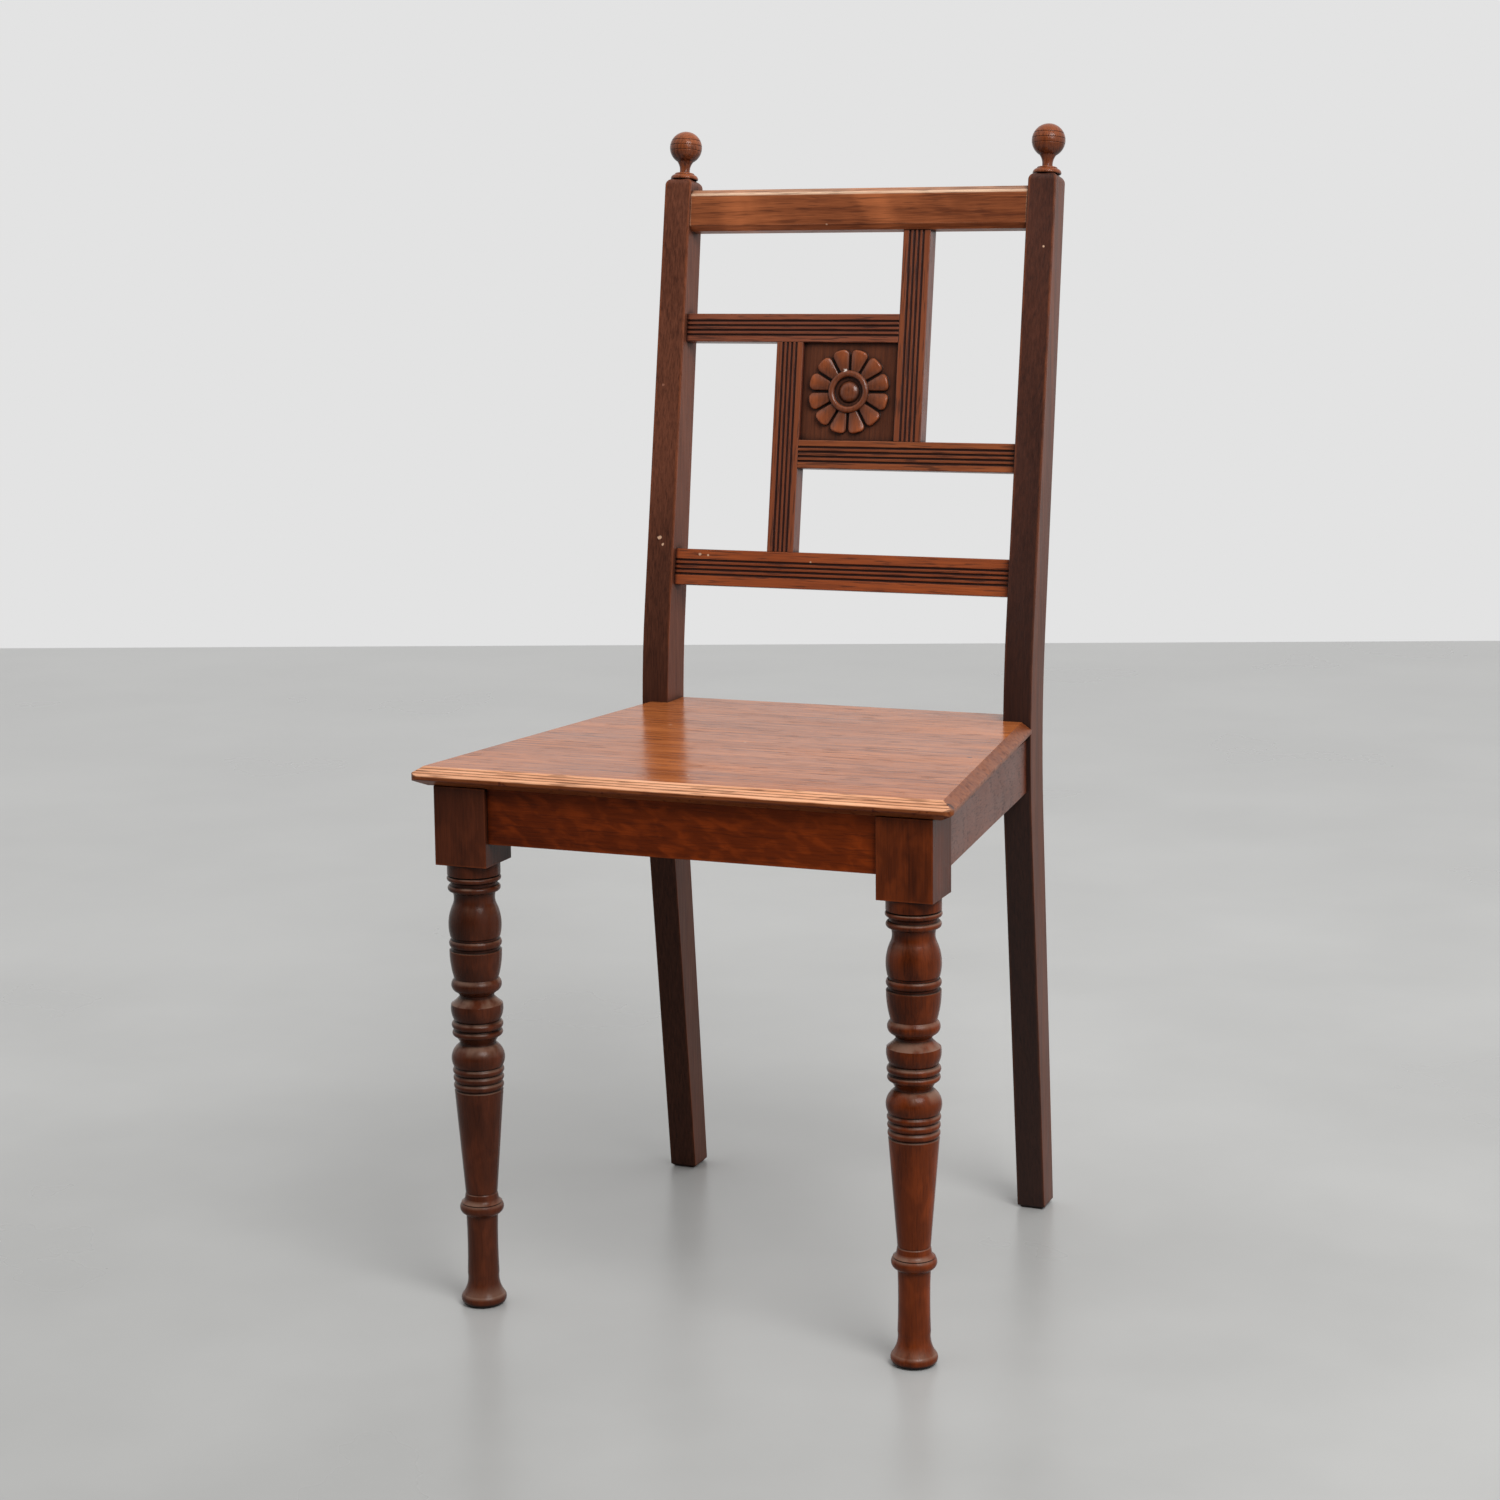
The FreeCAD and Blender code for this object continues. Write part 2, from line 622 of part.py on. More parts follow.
front_corners = [e for e in upright_edges(limits, Z) if e.Vertexes[0].Point.y < 0]
seat = seat.common(limits.makeFillet(seat_corner_round, front_corners))
for index in range(seat_reed_count):
    share = (index + 1) / (seat_reed_count + 1)
    reed_y = seat_front_y + share * seat_top_bevel
    reed_start = FreeCAD.Vector(-seat_front_half, reed_y, nose_top + share * seat_nose_drop)
    seat = seat.cut(Part.makeCylinder(seat_reed_round, 2 * seat_front_half, reed_start, X))
for side, sign in (("right", 1), ("left", -1)):
    beside = box(sign * post_inner_half, sign * seat_front_half, post_front_y + 1, seat_back_edge + 1,
                 seat_underside, seat_height)
    seat = seat.cut(beside).cut(post_blanks[side])

# Corner blocks glued inside the rails, each with one screw up into the seat
block_low = seat_underside - corner_block_height
inner_front_y = front_rail_y + rail_thickness
screw_points = {}
for side, sign in (("right", 1), ("left", -1)):
    inner_x = side_front_x - rail_thickness
    front_plan = [
        (sign * (inner_x - corner_block_leg), inner_front_y),
        (sign * side_front_x, inner_front_y),
        (sign * side_front_x, inner_front_y + corner_block_leg + rail_thickness),
    ]
    rear_x = side_rear_x - rail_thickness
    rear_plan = [
        (sign * (rear_x - corner_block_leg), rear_rail_y),
        (sign * side_rear_x, rear_rail_y),
        (sign * side_rear_x, rear_rail_y - corner_block_leg - rail_thickness),
    ]
    for place, plan in (("front", front_plan), ("rear", rear_plan)):
        name = place + "_" + side
        blank = prism(plan, block_low, seat_underside)
        blank = blank.cut(side_rails[side]).cut(legs[side]).cut(post_blanks[side])
        blank = max(blank.Solids, key=lambda solid: solid.Volume)
        middle = blank.CenterOfMass
        shank = Part.makeCylinder(screw_shank / 2, corner_block_height + screw_bite,
                                  FreeCAD.Vector(middle.x, middle.y, block_low), Z)
        head = Part.makeCone(screw_head / 2, screw_shank / 2, screw_head_height,
                             FreeCAD.Vector(middle.x, middle.y, block_low), Z)
        screw = shank.fuse(head).removeSplitter()
        seat = seat.cut(screw)
        nodes["corner_block_" + name] = blank.cut(screw)
        nodes["seat_screw_" + name] = screw

for side in ("right", "left"):
    post = post_blanks[side]
    for mortise in mortises[side]:
        post = post.cut(mortise)
    nodes["rear_post_" + side] = post
    nodes["front_leg_" + side] = legs[side]
    nodes["side_seat_rail_" + side] = side_rails[side]
nodes["front_seat_rail"] = front_rail
nodes["rear_seat_rail"] = rear_rail
nodes["seat_board"] = seat
nodes["lower_cross_bar"] = in_back(lower_bar)
nodes["middle_cross_bar"] = in_back(middle_bar)
nodes["upper_cross_bar"] = in_back(upper_bar)
nodes["upper_upright"] = in_back(upper_upright)
nodes["lower_upright"] = in_back(lower_upright)
nodes["crest_rail"] = in_back(crest)
nodes["rosette_panel"] = in_back(panel)

os.makedirs("parts", exist_ok=True)
for name, shape in nodes.items():
    placed = shape.copy()
    placed.Placement = to_origin.multiply(placed.Placement)
    placed.Solids[0].exportStep("parts/" + name + ".step")
    print(name, placed.isValid(), len(placed.Solids), round(placed.Volume))
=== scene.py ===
import math

import bpy
from mathutils import Matrix, Vector


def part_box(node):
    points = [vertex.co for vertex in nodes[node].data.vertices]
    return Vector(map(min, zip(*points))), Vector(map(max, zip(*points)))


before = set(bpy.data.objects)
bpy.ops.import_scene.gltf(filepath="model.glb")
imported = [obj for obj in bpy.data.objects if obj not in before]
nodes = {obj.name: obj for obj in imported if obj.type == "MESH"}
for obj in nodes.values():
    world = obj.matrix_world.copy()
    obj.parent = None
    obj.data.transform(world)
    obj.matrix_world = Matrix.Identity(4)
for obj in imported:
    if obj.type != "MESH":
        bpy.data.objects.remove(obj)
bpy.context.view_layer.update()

# Rear posts: each is sawn to its bend from one straight-grained oak plank, so the grain runs straight up
# while the post leans. Stained dark red-brown and waxed; the corners are rubbed to a warmer brown.


class Shade:
    """A shader socket in an expression: arithmetic adds Math nodes, node() adds any other kind."""

    def __init__(self, tree, socket=None):
        self.tree = tree
        self.socket = socket

    def node(self, kind, settings, sockets, output=0):
        """Adds a node: its type, its settings, the values or links of its sockets, and the output wanted."""
        made = self.tree.nodes.new(kind)
        for name, value in settings.items():
            setattr(made, name, value)
        for name, value in sockets.items():
            if isinstance(value, Shade):
                self.tree.links.new(value.socket, made.inputs[name])
            else:
                made.inputs[name].default_value = value
        return Shade(self.tree, made.outputs[output] if made.outputs else None)

    def math(self, operation, *values):
        return self.node("ShaderNodeMath", {"operation": operation}, dict(enumerate(values)))

    def __add__(self, other):
        return self.math("ADD", self, other)

    def __radd__(self, other):
        return self.math("ADD", other, self)

    def __sub__(self, other):
        return self.math("SUBTRACT", self, other)

    def __rsub__(self, other):
        return self.math("SUBTRACT", other, self)

    def __mul__(self, other):
        return self.math("MULTIPLY", self, other)

    def __rmul__(self, other):
        return self.math("MULTIPLY", other, self)

    def __truediv__(self, other):
        return self.math("DIVIDE", self, other)

    def __pow__(self, other):
        return self.math("POWER", self, other)

    def __abs__(self):
        return self.math("ABSOLUTE", self)

    def larger(self, other):
        """This value or the other one, whichever is larger."""
        return self.math("MAXIMUM", self, other)

    def step(self, low, high):
        """0 below low, 1 above high and smooth between; falls instead where low is the larger."""
        return self.node("ShaderNodeMapRange", {"interpolation_type": "SMOOTHSTEP"},
                         {"Value": self, "From Min": low, "From Max": high})

    def between(self, first, second):
        """Colour from first, where this value is 0, to second, where it is 1."""
        return self.node("ShaderNodeMix", {"data_type": "RGBA"}, {0: self, 6: first, 7: second}, 2)

    def vector(self, operation, other, output=0):
        """Vector Math on this vector and another; output 1 is a number."""
        return self.node("ShaderNodeVectorMath", {"operation": operation}, {0: self, 1: other}, output)

    def reach(self, direction):
        """How far this vector goes in a direction."""
        return self.vector("DOT_PRODUCT", tuple(direction), 1)

    def axis(self, number):
        """One number of this vector: 0 is to the right, 1 to the rear and 2 up."""
        return self.node("ShaderNodeSeparateXYZ", {}, {0: self}, number)

    def surface(self, sockets):
        """Ends a material with a surface that has these values and links on its sockets."""
        shader = self.node("ShaderNodeBsdfPrincipled", {}, sockets)
        self.node("ShaderNodeOutputMaterial", {}, {"Surface": shader})


def stain(red, green, blue):
    """Scene colour of a stain given as it looks on a screen, 0 to 255."""
    def linear(level):
        share = level / 255
        return share / 12.92 if share <= 0.04045 else ((share + 0.055) / 1.055) ** 2.4
    return (linear(red), linear(green), linear(blue), 1)


def new_tree(name):
    """An empty material and the value from which its nodes start."""
    material = bpy.data.materials.new(name)
    material.use_nodes = True
    material.node_tree.nodes.clear()
    return material, Shade(material.node_tree)


def oak(name, along, across, heart, dark, light, pore, rubbed, ring_gap=0.0032, wander=0.020, tilt=0.02,
        broad=0.5, fibre=0.7, figure=0.15, drift=(0, 0, 0), streak_size=(650, 650, 16),
        pore_size=(1300, 1300, 60), pores=0.6, fleck=0.0, fleck_size=(60, 60, 90), fleck_slant=0.0,
        sky=0.0, dust=0.0, dust_tone=stain(132, 102, 86), grime_and_shade=0.8, grime_and_shade_tone=stain(18, 8, 6),
        grime_and_shade_reach=0.012, grime_and_shade_span=(0.93, 0.35), edge_rub=0.8, edge_width=0.004, ease=0.0006,
        gloss=0.40, shine=0.2, relief=0.35, relief_depth=0.0004, also_rubbed=None, also_grime_and_shade=None, marks=()):
    """Stained oak cut from a log whose heart runs past the board.

    along and across are the board's own directions, heart a point on the log's centre line; rings,
    pores, fibres and ray flecks are laid out in that log, so they agree on all faces of the board.
    broad, fibre, figure and fleck say how much patches, fibres, rings and rays show, and sky how much
    painted top light a face that looks up gets and how much painted shade a face that looks down gets.
    also_rubbed and also_grime_and_shade return more wear, and more dark wax with painted shade, from the
    place, the face's direction and the noise. A mark is a chip: its centre, size and tone.
    """
    material, start = new_tree(name)
    along = Vector(along).normalized()
    across = Vector(across).normalized()
    through = along.cross(across)
    place = start.node("ShaderNodeTexCoord", {}, {}, "Object")
    face = start.node("ShaderNodeNewGeometry", {}, {}, "Normal")
    from_heart = place.vector("SUBTRACT", heart)
    length = from_heart.reach(along)
    width = from_heart.reach(across)
    depth = from_heart.reach(through)
    log = start.node("ShaderNodeCombineXYZ", {}, {0: width, 1: depth, 2: length})

    def noise(spread, detail=2.0, rough=0.5, distortion=0.0, wood=log):
        """Noise whose patches number spread per metre along width, depth and length."""
        spot = wood.vector("MULTIPLY", spread)
        return spot.node("ShaderNodeTexNoise", {}, {"Vector": spot, "Scale": 1.0, "Detail": detail,
                                                    "Roughness": rough, "Distortion": distortion})

    # Growth rings: distance from the wandering heart, counted in rings
    bow = (noise((6, 6, 1.7), 1) - 0.5) * wander
    ripple = (noise((55, 55, 7), 2) - 0.5) * (wander * 0.12)
    off_width = width + bow + length * tilt
    off_depth = depth + (noise((5, 5, 1.3), 1) - 0.5) * wander
    distance = (off_width * off_width + off_depth * off_depth) ** 0.5 + ripple
    years = distance / ring_gap
    lean_years = years.node("ShaderNodeTexNoise", {"noise_dimensions": "1D"},
                            {"W": years * 0.45, "Scale": 1.0})
    count = years + lean_years * 2.5
    ring = count.math("FRACT", count)
    early = ring.step(0.60, 0.02) * ring.step(0.0, 0.06)

    # Pores are short dark dashes along the grain, crowded in the early wood
    dash = noise(pore_size, 1)
    pore_mask = (dash + early * 0.09).step(0.58, 0.70) * pores
    streak = noise(streak_size, 3, 0.65)
    patch = noise((20, 20, 4), 2)
    face_up = face.axis(2)
    tone = 0.5 + (patch - 0.5) * broad * 2 + (streak - 0.5) * fibre * 1.6 - (early - 0.3) * figure
    # Painted light: by sky, faces that look up are painted lighter and faces that look down darker; drift
    # changes the tone along one direction
    tone = tone + face_up * sky + place.reach(drift)
    if fleck:
        slanted = length + width * fleck_slant
        sheared = start.node("ShaderNodeCombineXYZ", {}, {0: width, 1: depth, 2: slanted})
        rays = noise(fleck_size, distortion=0.4, wood=sheared).step(0.42, 0.70)
        tone = tone + (rays - 0.4) * fleck
    tone = tone.node("ShaderNodeClamp", {}, {"Value": tone})
    colour = tone.between(dark, light)

    # Wear on whatever stands out, then wax and dust in the corners that a cloth never reaches, with painted
    # shade darkening the same corners and grooves
    eased = start.node("ShaderNodeBevel", {"samples": 4}, {"Radius": ease})
    body = start.node("ShaderNodeAmbientOcclusion", {"samples": 8, "inside": True, "only_local": True},
                      {"Distance": edge_width}, 1)
    open_air = start.node("ShaderNodeAmbientOcclusion", {"samples": 8}, {"Distance": grime_and_shade_reach}, 1)
    uneven = noise((60, 60, 25), 3)
    rub_mask = body.step(0.88, 0.50) * open_air.step(0.55, 0.90) * uneven.step(0.25, 0.60) * edge_rub
    if also_rubbed:
        rub_mask = rub_mask.larger(also_rubbed(place, face, noise))
    rub_mask = rub_mask * (0.5 + streak)
    colour = rub_mask.between(colour, rubbed)
    colour = pore_mask.between(colour, pore)
    if dust:
        dust_mask = face_up.step(0.15, 0.80) * uneven.step(0.32, 0.60) * dust
        colour = dust_mask.between(colour, dust_tone)
    # Dark wax and painted shade: the less open air around a point, the darker it is painted, in corners,
    # grooves and under overhangs
    grime_and_shade_mask = open_air.step(*grime_and_shade_span) * grime_and_shade
    if also_grime_and_shade:
        grime_and_shade_mask = grime_and_shade_mask.larger(also_grime_and_shade(place, face, noise))
    colour = grime_and_shade_mask.between(colour, grime_and_shade_tone)
    for centre, size, shade in marks:
        gap = place.vector("DISTANCE", centre, 1)
        spot = (gap + (noise((400, 400, 400), 2) - 0.5) * size * 1.6).step(size, size * 0.55)
        colour = spot.between(colour, shade)

    # The polish is duller in smears, pores and corners; pores and early wood lie a little lower
    smear = noise((26, 26, 9), 3)
    roughness = gloss + (smear - 0.5) * 0.22 + pore_mask * 0.16 + grime_and_shade_mask * 0.2 + rub_mask * 0.06
    height = (streak - 0.5) * 0.35 - pore_mask * 0.8 - early * 0.18
    bumped = start.node("ShaderNodeBump", {}, {"Strength": relief, "Distance": relief_depth, "Height": height,
                                               "Normal": eased})
    start.surface({"Base Color": colour, "Roughness": roughness, "Normal": bumped,
                   "Specular IOR Level": shine})
    return material


def finish_with(material, *names):
    """Gives the named pieces this material alone."""
    for name in names:
        nodes[name].data.materials.clear()
        nodes[name].data.materials.append(material)


def painted_side_sheen(place, face, noise):
    """Painted sheen on the outer face of the right-hand post, which is painted lighter in streaks."""
    outer = face.axis(0).step(0.40, 0.85)
    streaks = noise((120, 120, 5), 2).step(0.35, 0.65)
    return outer * (0.16 + streaks * 0.18)


def painted_shade_under_seat(place, face, noise):
    """Painted shade: towards and below the seat the posts are painted almost black, less on faces that look
    right.
    """
    outer = face.axis(0)
    height = place.axis(2)
    low_down = (height + (noise((40, 40, 6), 2) - 0.5) * 0.06).step(0.80, 0.40)
    return low_down * (0.68 - outer.step(0.40, 0.85) * 0.48)


right = (1, 0, 0)
rearward = (0, 1, 0)
upward = (0, 0, 1)
bare_chip = stain(214, 176, 146)
post_stains = {
    "left": (stain(72, 39, 28), stain(132, 79, 58)),
    "right": (stain(46, 23, 17), stain(90, 51, 38)),
}
post_shine = {"left": 0.12, "right": 0.28}
post_marks = {
    "left": [((-0.1726, 0.1479, 0.6060), 0.0022, bare_chip), ((-0.1692, 0.1469, 0.5998), 0.0013, bare_chip),
             ((-0.1765, 0.1700, 0.7432), 0.0015, stain(150, 100, 80))],
    "right": [((0.1761, 0.1897, 0.8656), 0.0012, bare_chip)],
}
for side, (post_dark, post_light) in post_stains.items():
    post_oak = oak("post_oak_" + side, upward, right, heart=(0.05, 0.62, 0.4), dark=post_dark,
                   light=post_light, pore=stain(34, 17, 13), rubbed=stain(158, 84, 46), ring_gap=0.0040,
                   wander=0.03, tilt=0.015, fibre=0.9, figure=0.06, pore_size=(1000, 1000, 30),
                   pores=0.28, shine=post_shine[side], also_grime_and_shade=painted_shade_under_seat, marks=post_marks[side],
                   also_rubbed=painted_side_sheen if side == "right" else None)
    finish_with(post_oak, "rear_post_" + side)

# Cross bars of the back: three flat oak bars tenoned into posts and uprights, with four grooves run
# along each. The outer lands are rubbed orange, the reeds stay dark and the grooves nearly black with
# dark wax and painted shade.
back_lean = math.radians(9.15)
back_foot = (0, 0.1229, 0.450)
up_back = (0, math.sin(back_lean), math.cos(back_lean))
into_back = (0, math.cos(back_lean), -math.sin(back_lean))
reeds_half = 0.0078
land_fade = 0.0004


def lands_of(name, measure):
    """Mask of the flat front lands on both sides of a bar's reeds, counted from its middle along measure."""
    low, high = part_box(name)
    middle = ((low + high) / 2 - Vector(back_foot)).dot(Vector(measure))

    def lands(place, face, noise):
        off_middle = place.vector("SUBTRACT", back_foot).reach(measure) - middle
        beside_reeds = abs(off_middle).step(reeds_half - land_fade, reeds_half + land_fade)
        facing = face.reach(into_back).step(-0.5, -0.8)
        lines = noise((600, 600, 30), 3, 0.6).step(0.36, 0.64)
        patches = noise((30, 30, 9), 2).step(0.35, 0.65)
        return facing * (0.24 + beside_reeds * (0.10 + lines * 0.25 + patches * 0.20))
    return lands


def finish_reeded(name, along, across, measure, heart, rubbed, marks=()):
    """Finish of a grooved bar: lands rubbed warm, and dark wax with painted shade left in the grooves."""
    reeded_oak = oak(name + "_oak", along, across, heart, dark=stain(80, 37, 24), light=stain(126, 66, 42),
                     pore=stain(40, 18, 12), rubbed=rubbed, pore_size=(700, 700, 40), gloss=0.27, shine=0.45,
                     grime_and_shade=0.95, grime_and_shade_tone=stain(50, 14, 5), grime_and_shade_reach=0.004, grime_and_shade_span=(0.96, 0.60),
                     edge_rub=0.7, edge_width=0.0015, ease=0.0009, also_rubbed=lands_of(name, measure),
                     marks=marks)
    finish_with(reeded_oak, name)


bar_rubs = {
    "upper_cross_bar": stain(152, 88, 62),
    "middle_cross_bar": stain(170, 96, 54),
    "lower_cross_bar": stain(176, 90, 44),
}
bar_marks = {
    "lower_cross_bar": [((-0.1348, 0.1526, 0.5914), 0.0016, bare_chip),
                        ((-0.1268, 0.1525, 0.5908), 0.0014, bare_chip),
                        ((-0.0276, 0.1520, 0.5875), 0.0010, bare_chip)],
}
bar_heart = (0.0, 0.30, 0.66)
for name, bar_rub in bar_rubs.items():
    finish_reeded(name, right, upward, up_back, bar_heart, bar_rub, bar_marks.get(name, ()))

# Uprights of the back: two short bars grooved the same way, tenoned between crest rail and cross bars.
# Their grain runs up the slope of the back.
upright_heart = (0.03, 0.40, 0.70)
upright_rub = stain(146, 80, 48)
for name in ("upper_upright", "lower_upright"):
    finish_reeded(name, up_back, right, right, upright_heart, upright_rub)

# Carved panel: one oak board tongued into bars and uprights, its ground cut back round a rosette of
# twelve petals, a ring and a boss. The crowns are rubbed light, the ground keeps dark wax with painted
# shade, and faces that look up carry painted top light, faces that look down painted shade.
rosette_centre = (0.0, 0.1813, 0.7381)
petal_span = (0.022, 0.036)
crown_span = (0.0014, 0.0050)


def crowns(place, face, noise):
    """Petals, ring and boss, which stand proud of the ground, and most of all the petals' ends."""
    from_ground = place.vector("SUBTRACT", rosette_centre)
    height = from_ground.reach(into_back) * -1
    ends = from_ground.vector("LENGTH", (0, 0, 0), 1).step(*petal_span)
    return (height + (noise((90, 90, 40), 2) - 0.5) * 0.003).step(*crown_span) * (0.10 + ends * 0.24)


panel_oak = oak("panel_oak", up_back, right, heart=(0.12, 0.35, 0.74), dark=stain(62, 33, 23),
                light=stain(116, 66, 44), pore=stain(28, 13, 9), rubbed=stain(204, 108, 58), pores=0.25,
                gloss=0.22, shine=0.38, sky=0.25, grime_and_shade=1.0, grime_and_shade_tone=stain(30, 12, 7), grime_and_shade_reach=0.008,
                edge_rub=0.6, ease=0.0008, also_rubbed=crowns,
                marks=[((-0.0038, 0.1798, 0.7576), 0.0022, stain(236, 224, 214))])
finish_with(panel_oak, "rosette_panel")

# Crest rail: a quarter-sawn oak rail tenoned between the posts, chamfered along its front edges.
# Broad golden ray flecks cross its horizontal grain, and the top arris is worn pale by hands.
crest_arris = 0.4705
arris_span = (0.0020, 0.0006)
chamfer_span = (0.0004, 0.0012)


def top_arris(place, face, noise):
    """The front edge of the top chamfer, where hands take hold of the chair, and less the chamfer."""
    off_arris = place.vector("SUBTRACT", back_foot).reach(up_back) - crest_arris
    line = abs(off_arris).step(*arris_span)
    facing = face.reach(into_back).step(-0.4, -0.7)
    chamfer = off_arris.step(*chamfer_span) * 0.3
    patches = noise((60, 60, 8), 3).step(0.35, 0.62)
    return facing * line.larger(chamfer) * (0.5 + patches * 0.5)


crest_oak = oak("crest_oak", right, upward, heart=(0.264, 0.52, 0.92), dark=stain(102, 52, 30),
                light=stain(196, 114, 69), pore=stain(60, 27, 16), rubbed=stain(244, 204, 172), broad=0.3,
                fibre=0.5, drift=(-0.8, 0, 0), pores=0.4, streak_size=(700, 700, 30),
                pore_size=(760, 760, 44), fleck=0.5, fleck_size=(9, 9, 17), fleck_slant=0.5, gloss=0.32,
                edge_rub=0.6, edge_width=0.0022, also_rubbed=top_arris,
                marks=[((-0.0258, 0.1945, 0.8861), 0.0012, bare_chip)])
finish_with(crest_oak, "crest_rail")

# Finials: small oak balls turned with three cut lines, on a neck and a moulded foot, pinned and glued
# into the tops of the posts. Their tops carry painted top light and their undersides painted shade, and
# their edges are a little rubbed.
finial_lights = {"left": stain(164, 90, 52), "right": stain(144, 76, 42)}
for side, finial_light in finial_lights.items():
    finial_oak = oak("finial_oak_" + side, upward, right, heart=(0.0, 0.10, 0.95), dark=stain(60, 25, 13),
                     light=finial_light, pore=stain(36, 16, 10), rubbed=stain(180, 104, 62), ring_gap=0.0026,
                     figure=0.2, pores=0.4, sky=0.55, grime_and_shade=0.4, grime_and_shade_reach=0.004, edge_rub=0.4,
                     edge_width=0.002, gloss=0.17, shine=0.28)
    finish_with(finial_oak, "finial_" + side)

# Front legs: turned from square oak billets, with the top left square to take the seat rails. Polished
# red-brown and softly streaked; dust lies on the shoulders, and wax with painted shade in the grooves.
# Faces that look up carry painted top light, and faces that look down painted shade.
block_height = 0.065
block_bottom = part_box("front_leg_left")[1].z - block_height
block_span = (block_bottom - 0.006, block_bottom - 0.001)


def shaded_sides(place, face, noise):
    """The right-hand sides of the square tops, which lie in the shade of seat and rail."""
    outer = face.axis(0).step(0.5, 0.9)
    on_block = place.axis(2).step(*block_span)
    return outer * on_block * 0.4


leg_stains = {
    "left": (stain(40, 18, 10), stain(96, 46, 26)),
    "right": (stain(50, 18, 6), stain(131, 57, 21)),
}
for side, (leg_dark, leg_light) in leg_stains.items():
    leg_oak = oak("leg_oak_" + side, upward, right, heart=(0.05, -0.32, 0.2), dark=leg_dark, light=leg_light,
                  pore=stain(34, 13, 7), rubbed=stain(158, 76, 36), ring_gap=0.0042, wander=0.028, tilt=0.035,
                  broad=0.7, fibre=0.3, figure=0.05, streak_size=(800, 800, 30), pore_size=(900, 900, 60),
                  pores=0.16, fleck=0.3, fleck_size=(70, 70, 36), sky=0.16, dust=0.8, gloss=0.22, shine=0.13,
                  grime_and_shade=1.0, grime_and_shade_reach=0.005, grime_and_shade_span=(0.96, 0.50), edge_rub=0.35, edge_width=0.0025,
                  also_grime_and_shade=shaded_sides)
    finish_with(leg_oak, "front_leg_" + side)

# Seat rails: oak boards tenoned into legs and posts. The front one is figured oak with a curly mottle,
# the others are plain; all are stained red-brown and darkened under the seat's overhang by painted shadow,
# most of all the front one.
rail_dark = stain(66, 21, 5)
# Painted light and shadow: drift paints the rail lighter toward the right, and the long open-air reach paints
# the seat's shadow across its top
front_rail_oak = oak("front_rail_oak", right, upward, heart=(0.0, -0.02, 0.46), dark=rail_dark,
                     light=stain(140, 56, 14), pore=stain(40, 15, 8), rubbed=stain(150, 72, 34), fibre=0.3,
                     figure=0.06, drift=(1.3, 0, 0), pores=0.3, fleck=0.4, fleck_size=(100, 100, 60),
                     fleck_slant=0.6, gloss=0.36, shine=0.10, grime_and_shade_reach=0.03, grime_and_shade_span=(0.80, 0.25),
                     edge_rub=0.3)
finish_with(front_rail_oak, "front_seat_rail")
side_rail_oak = oak("side_rail_oak", rearward, upward, heart=(0.50, 0.0, 0.40), dark=stain(70, 28, 12),
                    light=stain(126, 62, 34), pore=stain(40, 15, 8), rubbed=stain(150, 76, 38), figure=0.05,
                    gloss=0.34, shine=0.35, edge_rub=0.3)
finish_with(side_rail_oak, "side_seat_rail_left", "side_seat_rail_right")
rear_rail_oak = oak("rear_rail_oak", right, upward, heart=(0.0, 0.32, 0.36), dark=rail_dark,
                    light=stain(112, 54, 28), pore=stain(38, 15, 8), rubbed=stain(130, 66, 34), gloss=0.45,
                    edge_rub=0.4)
finish_with(rear_rail_oak, "rear_seat_rail")

# Corner blocks: oak offcuts glued into the corners under the seat, left from the saw and unstained,
# dusty brown with age.
block_oak = oak("block_oak", (1, 1, 0), upward, heart=(0.3, 0.3, 0.30), dark=stain(118, 84, 56),
                light=stain(164, 124, 86), pore=stain(66, 44, 28), rubbed=stain(176, 138, 98), gloss=0.7,
                shine=0.15, grime_and_shade=0.7, relief=0.6, edge_rub=0.3)
finish_with(block_oak, "corner_block_front_left", "corner_block_front_right",
            "corner_block_rear_left", "corner_block_rear_right")

# Seat board: one wide oak board, grain from side to side, bevelled on three edges and screwed down from
# below. Its polish mirrors the light behind, and the front bevel is rubbed to bare golden wood.
seat_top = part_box("seat_board")[1].z
seat_nose_top = seat_top - 0.0065
nose_span = (seat_nose_top - 0.0012, seat_nose_top + 0.0004)


def front_bevel(place, face, noise):
    """The top bevel along the front that knees have rubbed bare, broken by dark open grain."""
    forward = face.axis(1).step(-0.10, -0.40)
    height = place.axis(2)
    wavering = height + (noise((500, 500, 30), 2) - 0.5) * 0.003
    over_nose = wavering.step(*nose_span)
    open_grain = noise((320, 420, 14), 4, 0.65).step(0.38, 0.62)
    return forward * over_nose * (0.56 + open_grain * 0.34)


def dark_edges(place, face, noise):
    """Side bevels in old dark stain; nose and down faces partly dark stain, partly painted shade; all pitted
    with knocks.
    """
    outward = face.axis(0)
    upright = face.axis(2)
    sideways = abs(outward).step(0.20, 0.45)
    under = upright.step(0.30, -0.10)
    pits = noise((160, 160, 160), 3, 0.6).step(0.60, 0.70)
    return (sideways * 0.9).larger(under * 1.2) * (0.60 + pits * 0.35)


